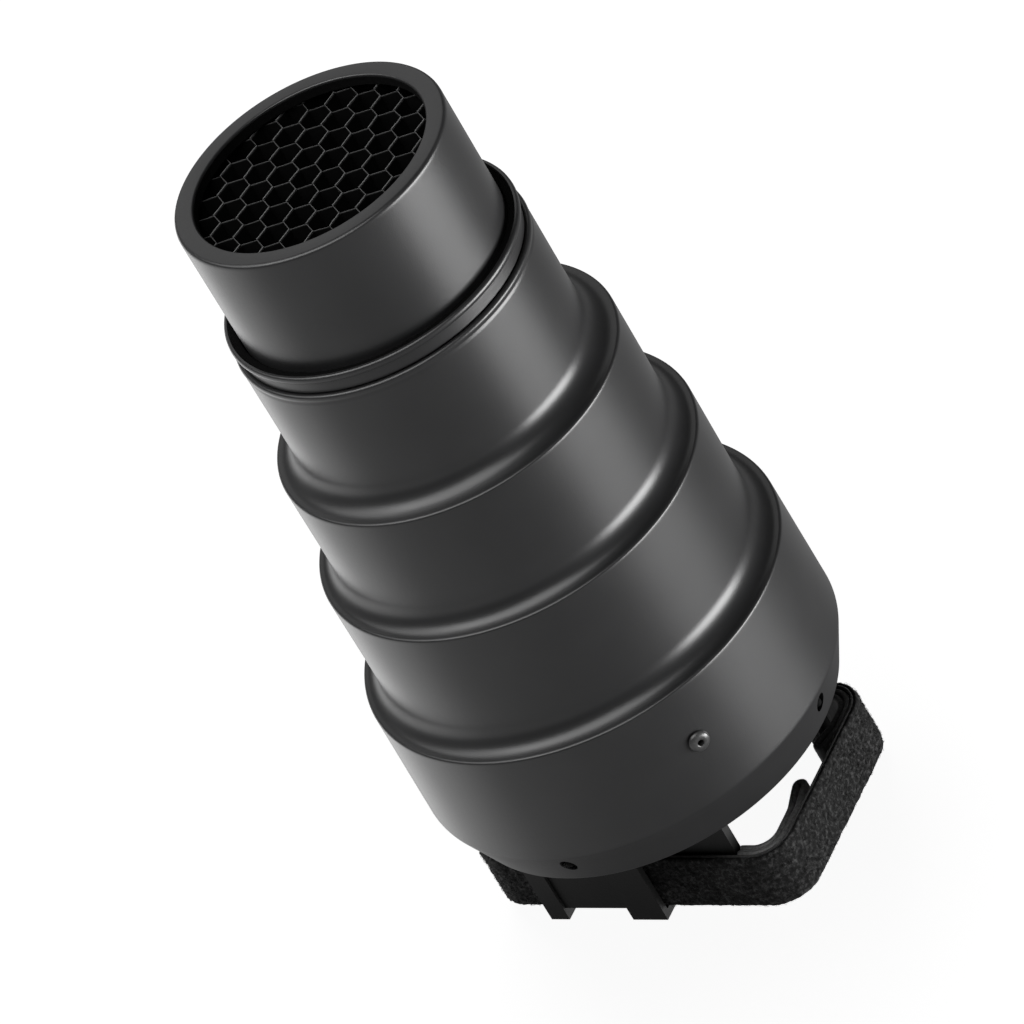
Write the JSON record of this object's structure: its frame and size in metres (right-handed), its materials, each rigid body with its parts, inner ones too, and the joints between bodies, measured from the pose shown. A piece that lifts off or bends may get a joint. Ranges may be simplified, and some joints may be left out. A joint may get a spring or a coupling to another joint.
{
  "type": "flash snoot",
  "caption": "Stepped conical snoot with a pull-out honeycomb grid, snap-in adapter ring and two hinged jaws drawn together by a hook-and-loop strap.",
  "frame": {"origin": "on the floor, under the middle of the snoot; the snoot stands on the feet of its jaws, light exit up", "axes": "+Z along the snoot's axis from the flash towards the light exit; Y across the two jaws; X along the jaws' hinge pins"},
  "size_m": [0.1096, 0.1106, 0.216],
  "materials": {
    "black_powder_coat": "satin black powder coat with a fine grain",
    "black_anodised": "matte black anodised",
    "black_rivet": "semi-gloss black",
    "honeycomb_foil": "black coated foil",
    "black_plastic": "moulded, satin",
    "strap_loop_pile": "fuzzy loop pile",
    "felt": "short flock",
    "rubber_pad": "matte",
    "spring_steel": "plain drawn wire"
  },
  "bodies": {
    "root": {"shell": "black_powder_coat", "stop_ring": "black_anodised", "rivet_1": "black_rivet", "rivet_2": "black_rivet", "rivet_3": "black_rivet", "grid_socket": "black_powder_coat", "felt_band": "felt", "adapter_ring": "black_plastic", "peg_guide_1": "black_plastic", "peg_guide_2": "black_plastic", "peg_guide_3": "black_plastic", "peg_guide_4": "black_plastic", "peg_spring_1": "spring_steel", "peg_spring_2": "spring_steel", "peg_spring_3": "spring_steel", "peg_spring_4": "spring_steel", "hinge_pin_near": "spring_steel", "hinge_pin_far": "spring_steel", "strap_side_right": "strap_loop_pile", "strap_side_left": "strap_loop_pile"},
    "grid": {"grid_sleeve": "black_powder_coat", "honeycomb_core": "honeycomb_foil", "core_snap_ring": "spring_steel"},
    "jaw_near": {"jaw_near": "black_plastic", "jaw_pad_near": "rubber_pad", "strap_near": "strap_loop_pile", "strap_tail": "strap_loop_pile"},
    "jaw_far": {"jaw_far": "black_plastic", "jaw_pad_far": "rubber_pad", "strap_far": "strap_loop_pile", "strap_fold": "strap_loop_pile"},
    "snap_peg_1": {"snap_peg_1": "black_plastic"},
    "snap_peg_2": {"snap_peg_2": "black_plastic"},
    "snap_peg_3": {"snap_peg_3": "black_plastic"},
    "snap_peg_4": {"snap_peg_4": "black_plastic"}
  },
  "joints": [
    {"name": "grid_pull", "type": "slide", "parent": "root", "child": "grid", "axis": [0, 0, 1], "range_m": [0, 0.03]},
    {"name": "jaw_near_hinge", "type": "hinge", "parent": "root", "child": "jaw_near", "pos_m": [0, -0.028, 0.038], "axis": [1, 0, 0], "range_deg": [-8, 4], "deforming": ["strap_side_right", "strap_side_left", "strap_tail"]},
    {"name": "jaw_far_hinge", "type": "hinge", "parent": "root", "child": "jaw_far", "pos_m": [0, 0.022, 0.038], "axis": [-1, 0, 0], "range_deg": [-8, 4], "deforming": ["strap_side_right", "strap_side_left", "strap_fold"]},
    {"name": "snap_peg_1_press", "type": "slide", "parent": "root", "child": "snap_peg_1", "axis": [-0.9998, 0.0175, 0], "range_m": [0, 0.003], "stiffness_N_per_m": 400, "springref_m": -0.001, "deforming": ["peg_spring_1"]},
    {"name": "snap_peg_2_press", "type": "slide", "parent": "root", "child": "snap_peg_2", "axis": [0.1045, -0.9945, 0], "range_m": [0, 0.003], "stiffness_N_per_m": 400, "springref_m": -0.001, "deforming": ["peg_spring_2"]},
    {"name": "snap_peg_3_press", "type": "slide", "parent": "root", "child": "snap_peg_3", "axis": [0.9998, -0.0175, 0], "range_m": [0, 0.003], "stiffness_N_per_m": 400, "springref_m": -0.001, "deforming": ["peg_spring_3"]},
    {"name": "snap_peg_4_press", "type": "slide", "parent": "root", "child": "snap_peg_4", "axis": [-0.1045, 0.9945, 0], "range_m": [0, 0.003], "stiffness_N_per_m": 400, "springref_m": -0.001, "deforming": ["peg_spring_4"]}
  ]
}
